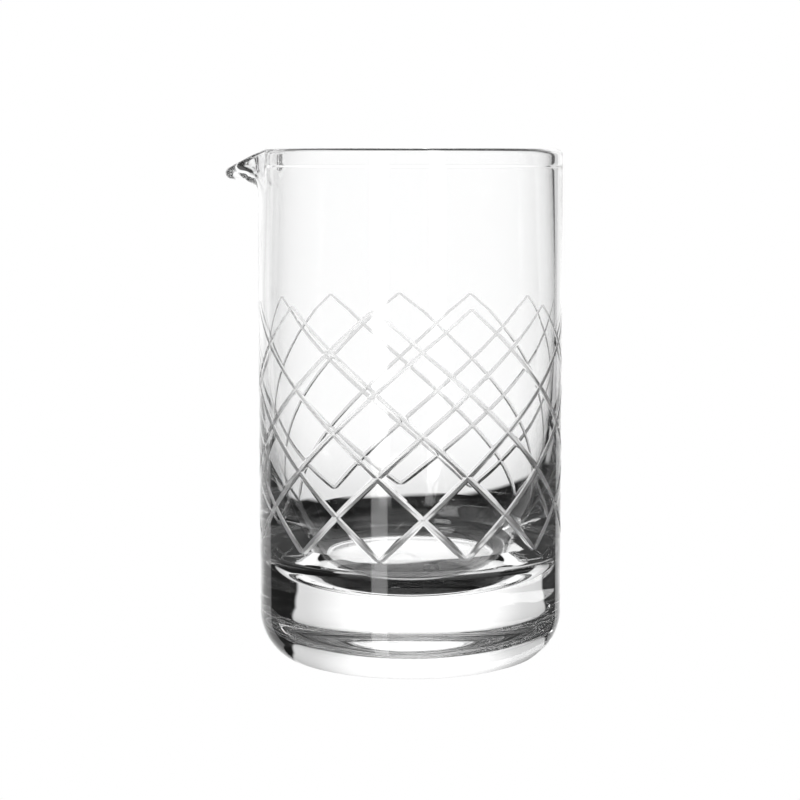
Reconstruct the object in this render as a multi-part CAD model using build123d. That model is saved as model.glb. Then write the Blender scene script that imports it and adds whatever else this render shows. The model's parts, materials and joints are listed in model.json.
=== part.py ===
from build123d import *
import os
from math import cos, radians, sin, tan

# Mixing glass: a straight cut-glass wall with a pouring lip, fused onto a heavy base.
# Millimetres. The glass's axis is Z, the foot stands on Z = 0 and the lip points to -X.

# Overall
outer_radius = 45.0
height = 148.3

# Wall: thickest round the mouth, thinning down to the top of the bowl
mouth_radius = 41.7
mouth_depth = 12.0
inner_radius = 43.1

# Heavy base: its corner is a wide arc, then a tight one that meets the flat foot
foot_corner_radius = 14.2
foot_corner_sweep = 50.0
foot_edge_radius = 1.5
floor_height = 20.2
seam_height = 33.8

# Bowl: the inside curves in from the wall to the floor along a quarter of a superellipse
bowl_depth = 86.0
bowl_side_power = 6.46
bowl_floor_power = 2.03
bowl_steps = 18

# Pouring lip: half a blunt cone, on an axis that slopes down and out from the rim
lip_start_radius = 44.5
lip_slope = 32.6
lip_reach = 12.0
lip_half_angle = 45.0
lip_tip_radius = 5.8
lip_thickness = 2.6
lip_back = 12.0
lip_shoulder_drop = 0.5
lip_join_radius = 44.0

# Cut pattern: V grooves run down the wall in two crossing directions, one cut slightly deeper
groove_count = 11
groove_steps_across = 3
right_hand_depth = 0.74
left_hand_depth = 0.62
groove_half_width = 0.95
groove_overcut = 0.9
groove_runout = 1.3
groove_sections = 9
pattern_top = 104.2
pattern_bottom = 35.0
first_tip = -101.8
drift_at_top = 3.8
drift_at_bottom = -3.0
drift_centre = -85.0


def bowl_outline():
    """Points down the bowl, from its upper edge to the middle of the floor."""
    points = []
    for step in range(bowl_steps + 1):
        angle = radians(90 * step / bowl_steps)
        across = max(0.0, cos(angle)) ** (2 / bowl_side_power)
        down = sin(angle) ** (2 / bowl_floor_power)
        points.append((inner_radius * across, floor_height + bowl_depth * (1 - down)))
    points[-1] = (0, floor_height)
    return points


def vessel_outline():
    """Half section of the whole glass, in the plane of its axis."""
    sweep = radians(foot_corner_sweep)
    inset = foot_corner_radius - foot_edge_radius
    edge_centre = (outer_radius - foot_corner_radius + inset * cos(sweep), foot_edge_radius)
    corner_centre = (outer_radius - foot_corner_radius, foot_edge_radius + inset * sin(sweep))
    crown_radius = (outer_radius - mouth_radius) / 2
    crown_centre = (outer_radius - crown_radius, height - crown_radius)
    mouth_bottom = (mouth_radius, height - mouth_depth)
    taper_end = (inner_radius, floor_height + bowl_depth)
    foot = Line((0, 0), (edge_centre[0], 0))
    edge = CenterArc(edge_centre, foot_edge_radius, -90, 90 - foot_corner_sweep)
    heel = CenterArc(corner_centre, foot_corner_radius, -foot_corner_sweep, foot_corner_sweep)
    side = Line(heel @ 1, (outer_radius, crown_centre[1]))
    crown = CenterArc(crown_centre, crown_radius, 0, 180)
    mouth = Line(crown @ 1, mouth_bottom)
    taper = Line(mouth_bottom, taper_end)
    bowl = Spline(bowl_outline(), tangents=[(0, -1), (-1, 0)])
    middle = Line((0, floor_height), (0, 0))
    return foot, edge, heel, side, crown, mouth, taper, bowl, middle


def lip_frame():
    """Plane of the lip's upper edge: its Y runs out along the lip and its Z points up."""
    slope = radians(lip_slope)
    upwards = (-sin(slope), 0, cos(slope))
    return Plane(origin=(-lip_start_radius, 0, height), x_dir=(0, 1, 0), z_dir=upwards)


def blunt_cone(inset):
    """Cone with a round nose along the lip's axis, set in from the lip's outside by inset."""
    angle = radians(lip_half_angle)
    nose_radius = lip_tip_radius - inset
    nose_centre = lip_reach - lip_tip_radius
    nose_start = (nose_radius * cos(angle), nose_centre + nose_radius * sin(angle))
    back_radius = nose_start[0] + (nose_start[1] + lip_back) * tan(angle)
    flank = Line((back_radius, -lip_back), nose_start)
    nose = CenterArc((0, nose_centre), nose_radius, lip_half_angle, 90 - lip_half_angle)
    axis = Line(nose @ 1, (0, -lip_back))
    back = Line((0, -lip_back), (back_radius, -lip_back))
    section = make_face([flank, nose, axis, back])
    return lip_frame() * revolve(section, Axis.Y)


def lip_bulge():
    """The lip's solid outside, up to its upper edge, from inside the wall outwards."""
    bulge = split(blunt_cone(0), lip_frame(), keep=Keep.BOTTOM)
    above = Pos(0, 0, height - lip_shoulder_drop) * Cylinder(
        2 * outer_radius, height, align=(Align.CENTER, Align.CENTER, Align.MIN)
    )
    inside = Cylinder(lip_join_radius, height, align=(Align.CENTER, Align.CENTER, Align.MIN))
    return bulge - above - inside


def drifted(angle, drift):
    """Azimuth of a groove's end: the hand cutting is a little closer on one side."""
    return angle + drift * sin(radians(angle - drift_centre))


def groove_cutter(tip, direction, depth):
    """V-shaped cutter along one groove, from a top tip to a bottom tip; it runs out at both."""
    step = 360 / groove_count
    start = drifted(tip, drift_at_top)
    end = drifted(tip + direction * groove_steps_across * step, drift_at_bottom)
    drop = pattern_bottom - pattern_top
    turn = radians(end - start)
    sections = []
    for index in range(groove_sections):
        share = index / (groove_sections - 1)
        azimuth = radians(start) + turn * share
        radius = outer_radius + groove_runout * depth * abs(2 * share - 1) ** 10
        outward = Vector(cos(azimuth), sin(azimuth), 0)
        along = Vector(-sin(azimuth), cos(azimuth), 0) * outer_radius * turn
        along = along + Vector(0, 0, drop)
        place = outward * radius + Vector(0, 0, pattern_top + drop * share)
        flare = groove_half_width * (depth + groove_overcut) / depth
        corners = [(-depth, 0), (groove_overcut, flare), (groove_overcut, -flare)]
        triangle = make_face(Polyline(*corners, close=True))
        sections.append(Plane(origin=place, x_dir=outward, z_dir=along) * triangle)
    return loft(sections)


def grooves(direction, depth):
    """Cutters for all the grooves that run one way round."""
    tips = [first_tip + index * 360 / groove_count for index in range(groove_count)]
    return [groove_cutter(tip, direction, depth) for tip in tips]


def main():
    vessel = revolve(Plane.XZ * make_face(vessel_outline()), Axis.Z)
    seam = Plane.XY.offset(seam_height)
    heavy_base = split(vessel, seam, keep=Keep.BOTTOM)
    glass_body = split(vessel, seam, keep=Keep.TOP)
    glass_body = glass_body + lip_bulge() - blunt_cone(lip_thickness)
    glass_body = glass_body - grooves(1, right_hand_depth) - grooves(-1, left_hand_depth)

    os.makedirs("parts", exist_ok=True)
    export_step(heavy_base, "parts/heavy_base.step")
    export_step(glass_body, "parts/glass_body.step")


main()
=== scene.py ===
import json
from math import atan2, cos, degrees, hypot, pi, radians, sin, sqrt

import bpy
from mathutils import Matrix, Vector


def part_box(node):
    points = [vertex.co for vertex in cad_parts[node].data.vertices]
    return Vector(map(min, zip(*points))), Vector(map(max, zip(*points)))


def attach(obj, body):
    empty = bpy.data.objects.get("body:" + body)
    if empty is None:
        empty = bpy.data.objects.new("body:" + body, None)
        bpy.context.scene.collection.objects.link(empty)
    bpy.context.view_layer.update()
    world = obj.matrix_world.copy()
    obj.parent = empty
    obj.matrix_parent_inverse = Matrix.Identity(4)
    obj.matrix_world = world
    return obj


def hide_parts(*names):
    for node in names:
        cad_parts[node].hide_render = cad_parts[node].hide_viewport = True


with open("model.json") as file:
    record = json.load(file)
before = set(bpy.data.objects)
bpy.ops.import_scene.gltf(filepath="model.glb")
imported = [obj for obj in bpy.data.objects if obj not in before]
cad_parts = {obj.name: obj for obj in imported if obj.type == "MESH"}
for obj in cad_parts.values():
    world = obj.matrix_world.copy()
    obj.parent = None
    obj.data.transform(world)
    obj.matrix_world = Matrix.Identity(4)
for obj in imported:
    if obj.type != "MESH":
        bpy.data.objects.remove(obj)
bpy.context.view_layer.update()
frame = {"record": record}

# ---------------------------------------------------------------- sizes, in metres
MM = 0.001
body_low, body_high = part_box("glass_body")
base_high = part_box("heavy_base")[1]
mouth_mount = [m for m in frame["record"]["mounts"] if m["name"] == "mouth"][0]

RADIUS = base_high[0]
HEIGHT = body_high[2]
SEAM = base_high[2]
LIP_TIP = -body_low[0]
MOUTH_RADIUS = mouth_mount["dims"]["r_mm"] * MM

RIM_DEPTH = 4.5 * MM
RIM_STEP = 0.15 * MM
RIM_EASE = 1 * MM
INNER_RADIUS = 43.1 * MM
FOOT_CORNER = 14.2 * MM
FOOT_CORNER_SWEEP = 50.0
FOOT_EDGE = 1.5 * MM
FOOT_RING = RADIUS - FOOT_CORNER + (FOOT_CORNER - FOOT_EDGE) * cos(radians(FOOT_CORNER_SWEEP))
FOOT_DOME = 1.2 * MM
FLOOR_HEIGHT = 20.2 * MM
BOWL_DEPTH = 86.0 * MM
BOWL_SIDE_POWER = 6.46
BOWL_FLOOR_POWER = 2.03

PATTERN_TOP = 104.2 * MM
PATTERN_BOTTOM = 34.4 * MM
GROOVES = 11
STEPS_ACROSS = 3
FIRST_TIP = -101.8
DRIFT_TOP = 3.8
DRIFT_BOTTOM = -3.0
DRIFT_CENTRE = -85.0
GROOVE_DEPTH = 0.38 * MM
GROOVE_SHARE = 0.056
GROOVE_TOP_SCALE = 0.45
GROOVE_DEEPENING = 1.3

# A groove's section is a V with a blunt bottom: a hyperbola, shifted and scaled to run from 0 to 1
V_BLUNTNESS = 0.02
V_BOTTOM = 0.141
V_SPAN = 0.869

# How gently a groove runs out at its top, and how suddenly at its bottom
RUN_OUT_TOP = 1.2
RUN_OUT_TOP_POWER = 14
RUN_OUT_BOTTOM_POWER = 50

LIP_HALF_ANGLE = 19.0
LIP_BEND_START = 133.3 * MM
LIP_EDGE_DROP = 7.0 * MM
LIP_RISE = 9.0
LIP_ROUND_BELOW = 0.15
LIP_ROUND_ABOVE = 0.33

FLOOR_REACH = 3.0

CAMERA_DISTANCE = 0.544
CAMERA_HEIGHT = 0.1438
CAMERA_TILT = 0.08
CAMERA_LENS = 82.6
CAMERA_SHIFT = (-0.0129, -0.11025)

# Light bends and reflects many times in thick glass, so the paths are long
GLASS_BOUNCES = 128
SEAM_BOUNCES = 64

GLASS_IOR = 1.5
GLASS_COLOUR = (0.992, 0.993, 0.993, 1)
CUT_COLOUR = (0.97, 0.97, 0.97, 1)
CUT_CLARITY = 0.72
CUT_ROUGHNESS = 0.17
CUT_ROUGHNESS_SPREAD = 0.05
WAVE_SCALE = 45
WAVE_DEPTH = 1.0 * MM
WAVE_STRENGTH = 0.04
GRIND_SCALE = 2500
GRIND_DEPTH = 0.02 * MM
GRIND_STRENGTH = 0.5

# ---------------------------------------------------------------- fineness of the meshes
# The middle of the foot and of the floor is closed by a fan of this radius
CENTRE_RADIUS = 2 * MM
SHARP_ANGLE = 24

CROWN_STEPS = 8
LIP_OUTSIDE_STEPS = 16
LIP_INSIDE_STEPS = 14
UPPER_WALL_STEPS = 8
RIM_STEPS = 4
BOWL_SIDE_STEPS = 30
BASE_SIDE_STEPS = 4
CORNER_STEPS = 14
EDGE_STEPS = 6
FOOT_STEPS = 10
FLOOR_STEPS = 40
FLOOR_GATHER = 0.6

# Fractions of one groove spacing at which the mesh has its columns, closer together near a groove
COLUMNS_IN_GROOVE = 3
COLUMNS_BETWEEN = 11
GATHER = 1.25
IN_GROOVE = [GROOVE_SHARE * k / COLUMNS_IN_GROOVE for k in range(COLUMNS_IN_GROOVE + 1)]
BETWEEN = [GROOVE_SHARE + (0.5 - GROOVE_SHARE) * (k / COLUMNS_BETWEEN) ** GATHER
           for k in range(1, COLUMNS_BETWEEN + 1)]
HALF = IN_GROOVE + BETWEEN
FRACTIONS = HALF + [1 - f for f in reversed(HALF[1:-1])]
PER_STEP = len(FRACTIONS)
COLUMNS = GROOVES * PER_STEP
BAND_ROWS = 2 * STEPS_ACROSS * PER_STEP

# ---------------------------------------------------------------- studio, as the glass sees it
# Azimuth 0 is the direction that the camera looks in, and it grows to the right; elevation grows
# upwards. Both are in degrees. The backdrop is a bright window in dark surroundings.
BACKDROP_LEFT = -48
BACKDROP_RIGHT = 34.7
BACKDROP_SOFTNESS = 1.2
BACKDROP_WIDENS_LEFT = 0.5
BACKDROP_WIDENS_RIGHT = 0.4
BACKDROP_WIDENS_UP_TO = 25
BACKDROP_CENTRE = -3
BACKDROP_FADE = (14, 34)
BACKDROP_LEVELS = (1.18, 0.78)
BACKDROP_FOOT = (-27, -13)
BACKDROP_FOOT_LEVEL = 0.8

# Where the backdrop ends at the bottom: a slanting edge, steeper on the left
HORIZON = (-27, -25.5)
HORIZON_SPAN = (-14, 12)
HORIZON_SLOPES = (0.4, 0.13)

DARK_LEFT = 0.035
DARK_RIGHT = 0.01
DARK_BELOW = 0.008

OVERHEAD = (44, 54)
OVERHEAD_LEVEL = 1.15
LEFT_CARD = (-150, -52)
LEFT_CARD_FOOT = (18, 28)
LEFT_CARD_LEVEL = 0.8
RIGHT_CARD = (30, 50)
RIGHT_CARD_HEIGHT = (40, 60)
RIGHT_CARD_LEVEL = 0.4
CARD_SOFTNESS = 5
STRIP = (-163, -151)
STRIP_HEIGHT = (-40, 40)
STRIP_LEVEL = 4.0

# Light that passes straight through finds open white surroundings in these directions
OPEN_SIDES = (64, 92)
OPEN_BELOW = (-64, -74)
OPEN_BELOW_ONE_WALL = (-44, -56)

# Light that was reflected many times inside the glass finds only these parts of the studio
MANY_REFLECTIONS = 4.5
LATE_BACKDROP_FOOT = (-30, -20)
LATE_OPEN_BELOW = (-50, -62)
LATE_DARK = 0.05


def smooth(value):
    value = min(1.0, max(0.0, value))
    return value * value * (3 - 2 * value)


def groove_scale(t):
    """Grooves grow wider and deeper from the top of the pattern to its bottom."""
    return GROOVE_TOP_SCALE + (1 - GROOVE_TOP_SCALE) * t


def column_place(index, t):
    """Place of a column round the glass, in groove spacings, at share t down the pattern."""
    whole, part = divmod(index, PER_STEP)
    fraction = FRACTIONS[part]
    side = fraction if fraction <= 0.5 else fraction - 1
    edge = GROOVE_SHARE * groove_scale(t)
    size = abs(side)
    if size <= GROOVE_SHARE:
        moved = size * groove_scale(t)
    else:
        moved = edge + (size - GROOVE_SHARE) * (0.5 - edge) / (0.5 - GROOVE_SHARE)
    return whole + (moved if side >= 0 else -moved) + (0 if side >= 0 else 1)


def drifted(place, t):
    """Azimuth in radians of a place round the glass, with the drift of the hand cutting."""
    angle = FIRST_TIP + place * 360 / GROOVES
    drift = DRIFT_TOP * (1 - t) + DRIFT_BOTTOM * t
    return radians(angle + drift * sin(radians(angle - DRIFT_CENTRE)))


def pattern_share(z):
    return min(1.0, max(0.0, (PATTERN_TOP - z) / (PATTERN_TOP - PATTERN_BOTTOM)))


def groove_depth(index, t):
    """Depth of the V groove nearest to a column index, and 0 away from it."""
    fraction = FRACTIONS[index % PER_STEP]
    away = min(fraction, 1 - fraction) / GROOVE_SHARE
    rounded = (sqrt(away * away + V_BLUNTNESS) - V_BOTTOM) / V_SPAN
    run_out = RUN_OUT_TOP * (1 - t) ** RUN_OUT_TOP_POWER + t ** RUN_OUT_BOTTOM_POWER
    deepest = GROOVE_DEPTH * groove_scale(t) ** GROOVE_DEEPENING
    return max(0.0, deepest * (1 - rounded - run_out))


# ---------------------------------------------------------------- mesh building
# Places of the materials on each piece
CLEAR, CUT, JOINT = 0, 1, 2


class Shell:
    """A closed mesh in the making: vertices in metres, faces, and a material index per face."""

    def __init__(self):
        self.points = []
        self.faces = []
        self.finish = []

    def ring(self, radius, z, t):
        """Adds a ring of vertices, with its columns where the pattern puts them at share t."""
        first = len(self.points)
        for index in range(COLUMNS):
            angle = drifted(column_place(index, t), t)
            self.points.append((radius * cos(angle), radius * sin(angle), z))
        return [first + index for index in range(COLUMNS)]

    def bridge(self, upper, lower, finish=CLEAR):
        """Faces between two rings, facing outwards when upper lies above lower."""
        for index in range(len(upper)):
            after = (index + 1) % len(upper)
            self.faces.append((upper[index], lower[index], lower[after], upper[after]))
            self.finish.append(finish)

    def cap(self, ring, z, upwards):
        """Closes a ring with a fan round the axis."""
        middle = len(self.points)
        self.points.append((0.0, 0.0, z))
        for index in range(len(ring)):
            after = (index + 1) % len(ring)
            first, second = (index, after) if upwards else (after, index)
            self.faces.append((ring[first], ring[second], middle))
            self.finish.append(CLEAR)

    def build(self, name, materials):
        mesh = bpy.data.meshes.new(name)
        mesh.from_pydata(self.points, [], self.faces)
        for material in materials:
            mesh.materials.append(material)
        mesh.polygons.foreach_set("material_index", self.finish)
        mesh.polygons.foreach_set("use_smooth", [True] * len(self.faces))
        mesh.set_sharp_from_angle(angle=radians(SHARP_ANGLE))
        mesh.update()
        piece = bpy.data.objects.new(name, mesh)
        bpy.context.scene.collection.objects.link(piece)
        return piece


def profile_rings(shell, outline):
    """Rings for a list of (radius, z), each bridged to the one before; outline runs downwards."""
    rings = [shell.ring(radius, z, pattern_share(z)) for radius, z in outline]
    for upper, lower in zip(rings, rings[1:]):
        shell.bridge(upper, lower)
    return rings


def arc_points(centre, radius, start, end, steps):
    """Points on an arc in the half-plane of the axis; angles in degrees from outwards, up."""
    angles = [radians(start + (end - start) * k / steps) for k in range(steps + 1)]
    return [(centre[0] + radius * cos(a), centre[1] + radius * sin(a)) for a in angles]


def spaced(start, end, steps, power=1.0):
    return [start + (end - start) * (k / steps) ** power for k in range(steps + 1)]


# ---------------------------------------------------------------- the two pieces' outlines
def bowl_radius_at(z):
    level = max(0.0, 1 - (z - FLOOR_HEIGHT) / BOWL_DEPTH)
    return INNER_RADIUS * (1 - level ** BOWL_FLOOR_POWER) ** (1 / BOWL_SIDE_POWER)


def bowl_height_at(radius):
    level = (1 - (radius / INNER_RADIUS) ** BOWL_SIDE_POWER) ** (1 / BOWL_FLOOR_POWER)
    return FLOOR_HEIGHT + BOWL_DEPTH * (1 - level)


def foot_height_at(radius):
    """The foot is very slightly domed, so that the glass stands on a ring."""
    return FOOT_DOME * (1 - (radius / FOOT_RING) ** 2)


def foot_corner():
    """The base's corner: a wide arc, then a tight one that meets the foot."""
    sweep = radians(FOOT_CORNER_SWEEP)
    start = FOOT_EDGE + (FOOT_CORNER - FOOT_EDGE) * sin(sweep)
    centre = (RADIUS - FOOT_CORNER, start)
    wide = arc_points(centre, FOOT_CORNER, 0, -FOOT_CORNER_SWEEP, CORNER_STEPS)
    tight = arc_points((FOOT_RING, FOOT_EDGE), FOOT_EDGE, -FOOT_CORNER_SWEEP, -90, EDGE_STEPS)
    return wide + tight[1:]


def inner_radius_at(z):
    """Radius of the inside: a short thick rim, then a wall that thins down to the bowl."""
    bowl_top = FLOOR_HEIGHT + BOWL_DEPTH
    rim_end = HEIGHT - RIM_DEPTH
    if z >= rim_end:
        return MOUTH_RADIUS
    if z <= bowl_top:
        return bowl_radius_at(z)
    step = RIM_STEP * smooth((rim_end - z) / RIM_EASE)
    below_rim = MOUTH_RADIUS + step
    return below_rim + (INNER_RADIUS - below_rim) * (rim_end - z) / (rim_end - bowl_top)


def wall_band(shell, top_ring, bottom_ring):
    """The cut pattern: a lattice whose lines follow both families of grooves."""
    rows = [top_ring]
    for row in range(1, BAND_ROWS):
        ring = []
        for column in range(COLUMNS):
            share = row / BAND_ROWS
            first = column_place(column, share)
            second = column_place(column + row, share)
            t = (second - first) / (2 * STEPS_ACROSS)
            depth = max(groove_depth(column, t), groove_depth(column + row, t))
            angle = drifted((first + second) / 2, t)
            z = PATTERN_TOP + (PATTERN_BOTTOM - PATTERN_TOP) * t
            radius = RADIUS - depth
            ring.append(len(shell.points))
            shell.points.append((radius * cos(angle), radius * sin(angle), z))
        rows.append(ring)
    shift = STEPS_ACROSS * PER_STEP
    rows.append([bottom_ring[(column + shift) % COLUMNS] for column in range(COLUMNS)])
    for row in range(BAND_ROWS + 1):
        for column in range(COLUMNS):
            after = (column + 1) % COLUMNS
            left = rows[row][column]
            right = rows[row][after]
            top = rows[row - 1][after] if row > 0 else None
            bottom = rows[row + 1][column] if row < BAND_ROWS else None
            finish = CUT if in_groove(column) or in_groove(column + row) else CLEAR
            if top is None:
                patches = [(left, bottom, right)]
            elif bottom is None:
                patches = [(left, right, top)]
            elif in_groove(column) and in_groove(column + row):
                patches = crossing_patches(column, row, left, bottom, right, top)
            else:
                patches = [(left, bottom, right, top)]
            for patch in patches:
                shell.faces.append(patch)
                shell.finish.append(finish)


def in_groove(index):
    """True for a mesh cell, from this column index to the next, that lies in a groove."""
    part = index % PER_STEP
    return part < len(IN_GROOVE) - 1 or part > PER_STEP - len(IN_GROOVE)


def crossing_patches(column, row, left, bottom, right, top):
    """Where two grooves cross, a cell is split along the crease between them."""
    half = PER_STEP / 2
    one_side = (column % PER_STEP) < half
    other_side = ((column + row) % PER_STEP) < half
    if one_side == other_side:
        return [(left, bottom, right), (left, right, top)]
    return [(left, bottom, top), (bottom, right, top)]


# ---------------------------------------------------------------- pouring lip
def lip_share(x, y):
    """1 at the middle of the lip, falling smoothly to 0 at its two sides."""
    angle = degrees(atan2(y, -x))
    return smooth(1 - abs(angle) / LIP_HALF_ANGLE)


def bend_lip(point):
    """Carries a point of the straight wall outwards and down into the pouring lip."""
    x, y, z = point
    share = lip_share(x, y)
    if z <= LIP_BEND_START or share == 0:
        return point
    middle = (RADIUS + MOUTH_RADIUS) / 2
    crown = (RADIUS - MOUTH_RADIUS) / 2
    lean = radians(90 - LIP_RISE) * share
    reach = (LIP_TIP - middle - crown) * share
    end = Vector((middle + reach, HEIGHT - crown - (LIP_EDGE_DROP - crown) * share))
    start = Vector((middle, LIP_BEND_START))
    along = Vector((sin(lean), cos(lean)))
    run = HEIGHT - crown - LIP_BEND_START
    first = start + Vector((0, run * (1 / 3 + LIP_ROUND_BELOW * share)))
    second = end - along * run * (1 / 3 + LIP_ROUND_ABOVE * share)
    place = (z - LIP_BEND_START) / run
    w = min(1.0, place)
    centre = (start * (1 - w) ** 3 + first * 3 * w * (1 - w) ** 2
              + second * 3 * w * w * (1 - w) + end * w ** 3)
    slope = ((first - start) * (1 - w) ** 2 + (second - first) * 2 * w * (1 - w)
             + (end - second) * w * w).normalized()
    beyond = max(0.0, place - 1) * run
    radius = hypot(x, y)
    bent = centre + slope * beyond + Vector((slope.y, -slope.x)) * (radius - middle)
    return x / radius * bent.x, y / radius * bent.x, bent.y


# ---------------------------------------------------------------- the two pieces
def make_glass_body(materials):
    shell = Shell()
    crown_centre = ((RADIUS + MOUTH_RADIUS) / 2, HEIGHT - (RADIUS - MOUTH_RADIUS) / 2)
    crown_radius = (RADIUS - MOUTH_RADIUS) / 2
    wall_top = spaced(crown_centre[1], LIP_BEND_START, LIP_OUTSIDE_STEPS)[1:]
    wall_top += spaced(LIP_BEND_START, PATTERN_TOP, UPPER_WALL_STEPS)[1:]
    outside = arc_points(crown_centre, crown_radius, 90, 0, CROWN_STEPS)
    outer_rings = profile_rings(shell, outside + [(RADIUS, z) for z in wall_top])
    bottom = shell.ring(RADIUS, PATTERN_BOTTOM, 1.0)
    wall_band(shell, outer_rings[-1], bottom)
    seam_outer = shell.ring(RADIUS, SEAM, 1.0)
    shell.bridge(bottom, seam_outer)
    seam_inner = shell.ring(bowl_radius_at(SEAM), SEAM, 1.0)
    shell.bridge(seam_outer, seam_inner, JOINT)
    bowl_top = FLOOR_HEIGHT + BOWL_DEPTH
    rim_end = HEIGHT - RIM_DEPTH
    heights = spaced(SEAM, bowl_top, BOWL_SIDE_STEPS)[1:]
    heights += spaced(bowl_top, LIP_BEND_START, UPPER_WALL_STEPS)[1:]
    heights += spaced(LIP_BEND_START, rim_end - RIM_EASE, LIP_INSIDE_STEPS)[1:]
    heights += spaced(rim_end - RIM_EASE, rim_end, RIM_STEPS)[1:]
    heights += spaced(rim_end, crown_centre[1], RIM_STEPS)[1:]
    inside = [(inner_radius_at(z), z) for z in heights]
    inside += arc_points(crown_centre, crown_radius, 180, 90, CROWN_STEPS)[1:-1]
    inner_rings = profile_rings(shell, inside)
    shell.bridge(seam_inner, inner_rings[0])
    shell.bridge(inner_rings[-1], outer_rings[0])
    shell.points = [bend_lip(point) for point in shell.points]
    return shell.build("glass_body_visual", materials)


def make_heavy_base(materials):
    shell = Shell()
    corner = foot_corner()
    outline = [(RADIUS, z) for z in spaced(SEAM, corner[0][1], BASE_SIDE_STEPS)[:-1]] + corner
    outline += [(r, foot_height_at(r)) for r in spaced(FOOT_RING, CENTRE_RADIUS, FOOT_STEPS)[1:]]
    outer = profile_rings(shell, outline)
    shell.cap(outer[-1], FOOT_DOME, upwards=False)
    across = spaced(CENTRE_RADIUS, bowl_radius_at(SEAM), FLOOR_STEPS, FLOOR_GATHER)
    inner = profile_rings(shell, [(r, bowl_height_at(r)) for r in across])
    shell.cap(inner[0], FLOOR_HEIGHT, upwards=True)
    shell.bridge(inner[-1], outer[0], JOINT)
    return shell.build("heavy_base_visual", materials)


# ---------------------------------------------------------------- materials
def glass(name):
    material = bpy.data.materials.new(name)
    material.use_nodes = True
    shader = material.node_tree.nodes["Principled BSDF"]
    shader.inputs["Base Color"].default_value = GLASS_COLOUR
    shader.inputs["Transmission Weight"].default_value = 1.0
    shader.inputs["Roughness"].default_value = 0.0
    shader.inputs["IOR"].default_value = GLASS_IOR
    return material, shader


def relief(material, shader, scale, depth, strength):
    """Fine relief from noise over the object, with this many features to the metre."""
    tree = material.node_tree
    place = tree.nodes.new("ShaderNodeTexCoord")
    noise = tree.nodes.new("ShaderNodeTexNoise")
    noise.inputs["Scale"].default_value = scale
    noise.inputs["Detail"].default_value = 1.0
    tree.links.new(place.outputs["Object"], noise.inputs["Vector"])
    bump = tree.nodes.new("ShaderNodeBump")
    bump.inputs["Strength"].default_value = strength
    bump.inputs["Distance"].default_value = depth
    tree.links.new(noise.outputs[0], bump.inputs["Height"])
    tree.links.new(bump.outputs["Normal"], shader.inputs["Normal"])
    return noise


def clear_material():
    """Fire-polished glass, with the faint waviness of a hand-finished wall."""
    material, shader = glass("clear_glass")
    relief(material, shader, WAVE_SCALE, WAVE_DEPTH, WAVE_STRENGTH)
    return material


def cut_material():
    """Ground and lightly polished cuts: part clear, part satin, with fine grinding marks."""
    material, shader = glass("cut_glass")
    shader.inputs["Base Color"].default_value = CUT_COLOUR
    shader.inputs["Transmission Weight"].default_value = CUT_CLARITY
    noise = relief(material, shader, GRIND_SCALE, GRIND_DEPTH, GRIND_STRENGTH)
    spread = material.node_tree.nodes.new("ShaderNodeMapRange")
    spread.inputs["To Min"].default_value = CUT_ROUGHNESS - CUT_ROUGHNESS_SPREAD
    spread.inputs["To Max"].default_value = CUT_ROUGHNESS + CUT_ROUGHNESS_SPREAD
    material.node_tree.links.new(noise.outputs[0], spread.inputs["Value"])
    material.node_tree.links.new(spread.outputs["Result"], shader.inputs["Roughness"])
    return material


def joint_material():
    """Glass against glass bends no light, so the hidden faces of the joint are clear."""
    material, shader = glass("joint_face")
    shader.inputs["Alpha"].default_value = 0.0
    return material


# ---------------------------------------------------------------- studio
class Sums:
    """Short names for the math nodes of one node tree."""

    def __init__(self, tree):
        self.tree = tree

    def fill(self, socket, value):
        if isinstance(value, (int, float)):
            socket.default_value = value
        else:
            self.tree.links.new(value, socket)

    def math(self, operation, *values):
        node = self.tree.nodes.new("ShaderNodeMath")
        node.operation = operation
        for socket, value in zip(node.inputs, values):
            self.fill(socket, value)
        return node.outputs[0]

    def rise(self, value, low, high):
        """0 at low, 1 at high, smooth between; low may be the larger of the two."""
        node = self.tree.nodes.new("ShaderNodeMapRange")
        node.interpolation_type = "SMOOTHSTEP"
        self.tree.links.new(value, node.inputs["Value"])
        node.inputs["From Min"].default_value = low
        node.inputs["From Max"].default_value = high
        return node.outputs["Result"]

    def window(self, value, low, high, soft):
        up = self.rise(value, low - soft, low + soft)
        down = self.rise(value, high - soft, high + soft)
        return self.math("SUBTRACT", up, down)

    def clamp(self, value, low, high):
        return self.math("MINIMUM", self.math("MAXIMUM", value, low), high)

    def blend(self, share, below, above):
        """below where share is 0, above where it is 1."""
        node = self.tree.nodes.new("ShaderNodeMix")
        node.data_type = "FLOAT"
        for place, value in ((0, share), (2, below), (3, above)):
            self.fill(node.inputs[place], value)
        return node.outputs[0]


def backdrop_share(sums, azimuth, height):
    """1 in front of the backdrop, which is wider higher up, and 0 beside it."""
    lift = sums.clamp(height, 0, BACKDROP_WIDENS_UP_TO)
    both = BACKDROP_WIDENS_LEFT + BACKDROP_WIDENS_RIGHT
    rightness = sums.math("MULTIPLY", sums.rise(azimuth, -5, 5), both)
    turn = sums.math("MULTIPLY", lift, sums.math("SUBTRACT", BACKDROP_WIDENS_LEFT, rightness))
    turned = sums.math("ADD", azimuth, turn)
    return sums.window(turned, BACKDROP_LEFT, BACKDROP_RIGHT, BACKDROP_SOFTNESS)


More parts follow.
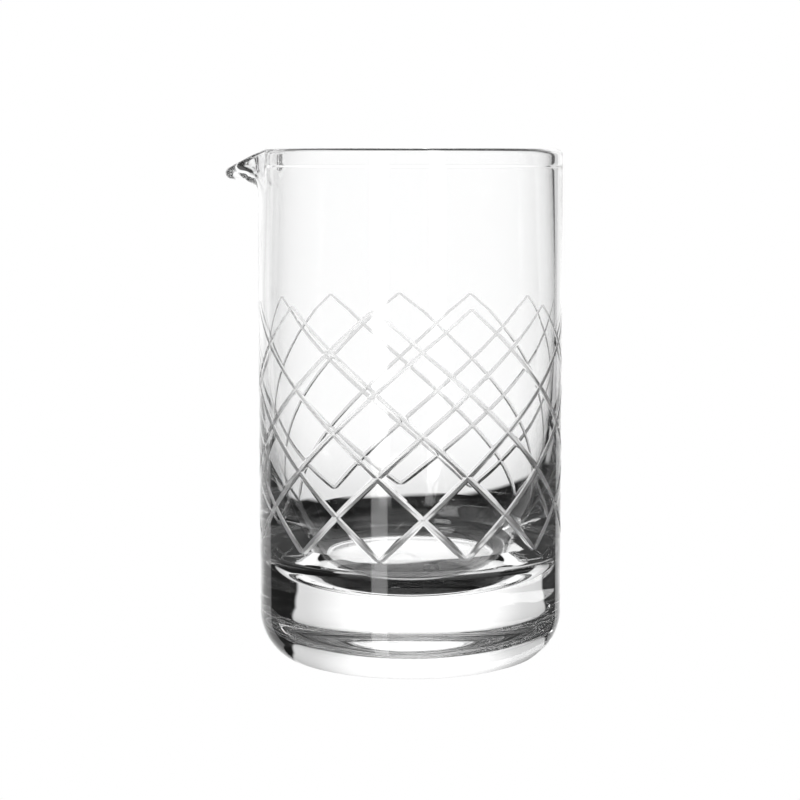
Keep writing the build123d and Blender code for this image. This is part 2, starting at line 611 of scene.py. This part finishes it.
def studio_level(sums, azimuth, height, backdrop):
    """Brightness of the backdrop, the overhead light, the cards, the strip and the dark between."""
    dark = sums.blend(sums.rise(azimuth, -20, 20), DARK_LEFT, DARK_RIGHT)
    falloff = sums.math("ABSOLUTE", sums.math("SUBTRACT", azimuth, BACKDROP_CENTRE))
    bright = sums.blend(sums.rise(falloff, *BACKDROP_FADE), *BACKDROP_LEVELS)
    foot = sums.blend(sums.rise(height, *BACKDROP_FOOT), BACKDROP_FOOT_LEVEL, 1.0)
    bright = sums.math("MULTIPLY", bright, foot)
    level = sums.blend(backdrop, dark, bright)
    card_height = sums.window(height, *RIGHT_CARD_HEIGHT, CARD_SOFTNESS)
    right_card = sums.math("MULTIPLY", sums.rise(azimuth, *RIGHT_CARD), card_height)
    level = sums.blend(right_card, level, RIGHT_CARD_LEVEL)
    card_width = sums.window(azimuth, *LEFT_CARD, CARD_SOFTNESS)
    left_card = sums.math("MULTIPLY", card_width, sums.rise(height, *LEFT_CARD_FOOT))
    level = sums.blend(left_card, level, LEFT_CARD_LEVEL)
    level = sums.blend(sums.rise(height, *OVERHEAD), level, OVERHEAD_LEVEL)
    turned = sums.clamp(azimuth, *HORIZON_SPAN)
    left_slant, right_slant = [sums.math("MULTIPLY", turned, slope) for slope in HORIZON_SLOPES]
    edge = sums.math("SUBTRACT", height, sums.math("MINIMUM", left_slant, right_slant))
    level = sums.blend(sums.rise(edge, *HORIZON), DARK_BELOW, level)
    strip_width = sums.window(azimuth, *STRIP, 1)
    strip = sums.math("MULTIPLY", strip_width, sums.window(height, *STRIP_HEIGHT, 4))
    return sums.blend(strip, level, STRIP_LEVEL)


def make_world():
    """What light leaving the glass meets; the camera itself sees plain white.

    The level depends on the direction and on how often the light was reflected, so this is a
    lighting device tuned to the photo and not a studio that could be built.
    """
    world = bpy.data.worlds.new("studio")
    bpy.context.scene.world = world
    world.use_nodes = True
    tree = world.node_tree
    tree.nodes.clear()
    sums = Sums(tree)
    place = tree.nodes.new("ShaderNodeTexCoord")
    split = tree.nodes.new("ShaderNodeSeparateXYZ")
    tree.links.new(place.outputs["Generated"], split.inputs[0])
    x, y, z = split.outputs
    azimuth = sums.math("DEGREES", sums.math("ARCTAN2", x, y))
    height = sums.math("DEGREES", sums.math("ARCSINE", z))
    backdrop = backdrop_share(sums, azimuth, height)
    level = studio_level(sums, azimuth, height, backdrop)

    path = tree.nodes.new("ShaderNodeLightPath")
    reflections = path.outputs["Glossy Depth"]
    crossings = path.outputs["Transmission Depth"]
    turns = sums.math("ADD", reflections, path.outputs["Diffuse Depth"])
    straight = sums.math("LESS_THAN", turns, 0.5)
    open_side = sums.rise(sums.math("ABSOLUTE", azimuth), *OPEN_SIDES)
    one_wall = sums.math("LESS_THAN", crossings, 2.5)
    below = sums.math("MULTIPLY", one_wall, sums.rise(height, *OPEN_BELOW_ONE_WALL))
    below = sums.math("MAXIMUM", below, sums.rise(height, *OPEN_BELOW))
    open_share = sums.math("MULTIPLY", straight, sums.math("MAXIMUM", open_side, below))
    level = sums.blend(open_share, level, 1.0)

    late = sums.math("MULTIPLY", backdrop, sums.rise(height, *LATE_BACKDROP_FOOT))
    late = sums.math("MAXIMUM", late, sums.rise(height, *LATE_OPEN_BELOW))
    many = sums.math("GREATER_THAN", reflections, MANY_REFLECTIONS)
    level = sums.blend(many, level, sums.blend(late, LATE_DARK, 1.0))

    seen = sums.blend(path.outputs["Is Camera Ray"], level, 1.0)
    background = tree.nodes.new("ShaderNodeBackground")
    background.inputs["Color"].default_value = (1, 1, 1, 1)
    tree.links.new(seen, background.inputs["Strength"])
    output = tree.nodes.new("ShaderNodeOutputWorld")
    tree.links.new(background.outputs[0], output.inputs["Surface"])


def make_floor():
    """A plain pale floor, seen by the camera but not through the glass."""
    mesh = bpy.data.meshes.new("floor")
    sides = ((-1, -1), (1, -1), (1, 1), (-1, 1))
    corners = [(x * FLOOR_REACH, y * FLOOR_REACH, 0) for x, y in sides]
    mesh.from_pydata(corners, [], [(0, 1, 2, 3)])
    material = bpy.data.materials.new("pale_floor")
    material.use_nodes = True
    shader = material.node_tree.nodes["Principled BSDF"]
    shader.inputs["Base Color"].default_value = (0, 0, 0, 1)
    shader.inputs["Specular IOR Level"].default_value = 0.0
    shader.inputs["Emission Color"].default_value = (1, 1, 1, 1)
    shader.inputs["Emission Strength"].default_value = 1.0
    mesh.materials.append(material)
    floor = bpy.data.objects.new("floor", mesh)
    bpy.context.scene.collection.objects.link(floor)
    floor.visible_diffuse = False
    floor.visible_glossy = False
    floor.visible_transmission = False
    floor.visible_shadow = False


def make_camera():
    """Looks slightly down at the glass from the front, with its lip on the left."""
    camera = bpy.data.cameras.new("camera")
    camera.sensor_width = 36
    camera.lens = CAMERA_LENS
    camera.shift_x, camera.shift_y = CAMERA_SHIFT
    eye = bpy.data.objects.new("camera", camera)
    eye.location = (0, -CAMERA_DISTANCE, CAMERA_HEIGHT)
    eye.rotation_euler = (pi / 2 - CAMERA_TILT, 0, 0)
    bpy.context.scene.collection.objects.link(eye)
    bpy.context.scene.camera = eye


# ---------------------------------------------------------------- assembly
materials = [clear_material(), cut_material(), joint_material()]
for maker, node in ((make_glass_body, "glass_body"), (make_heavy_base, "heavy_base")):
    piece = maker(materials)
    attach(piece, "root")
    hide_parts(node)

make_world()
make_floor()
make_camera()

scene = bpy.context.scene
scene.view_settings.view_transform = "Standard"
scene.cycles.max_bounces = GLASS_BOUNCES
scene.cycles.transmission_bounces = GLASS_BOUNCES
scene.cycles.glossy_bounces = GLASS_BOUNCES
scene.cycles.transparent_max_bounces = SEAM_BOUNCES
